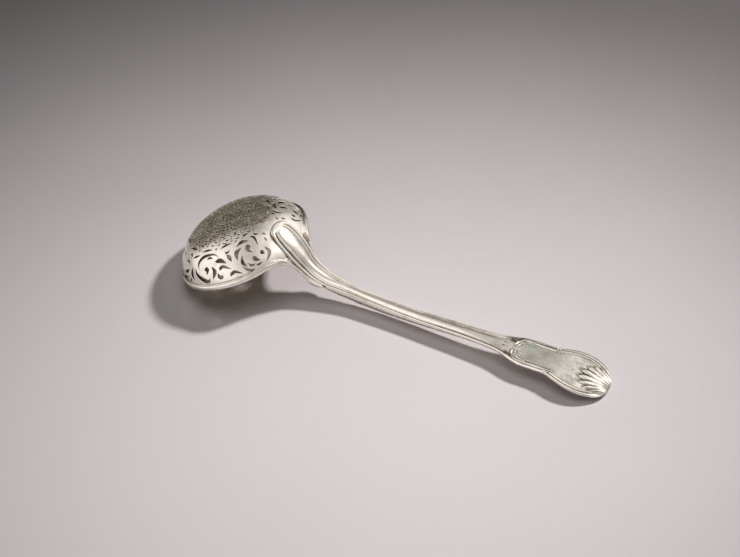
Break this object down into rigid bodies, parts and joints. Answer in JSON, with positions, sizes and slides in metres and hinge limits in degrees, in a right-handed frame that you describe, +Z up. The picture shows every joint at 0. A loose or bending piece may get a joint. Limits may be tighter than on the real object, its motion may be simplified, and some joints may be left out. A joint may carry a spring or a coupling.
{
  "type": "sugar sifter spoon",
  "caption": "Silver sugar sifter spoon with a deep oval pierced bowl, moulded rim, and a threaded fiddle handle ending in a shell.",
  "frame": {"origin": "middle of the footprint, on the surface the spoon lies on", "axes": "+X from the bowl's tip to the handle's end, +Y across, +Z up from the table; the bowl lies mouth down and the back of the handle is up"},
  "size_m": [0.213, 0.0702, 0.0312],
  "materials": {
    "bowl_silver_gilt": "polished silver outside, gilt inside, tarnish in the piercing",
    "silver_wire": "polished silver",
    "silver_strap": "polished silver",
    "silver_handle": "polished silver, dark in the threads"
  },
  "bodies": {
    "root": {"bowl": "bowl_silver_gilt", "rim_moulding": "silver_wire", "throat_strap": "silver_strap", "handle": "silver_handle"}
  },
  "joints": []
}
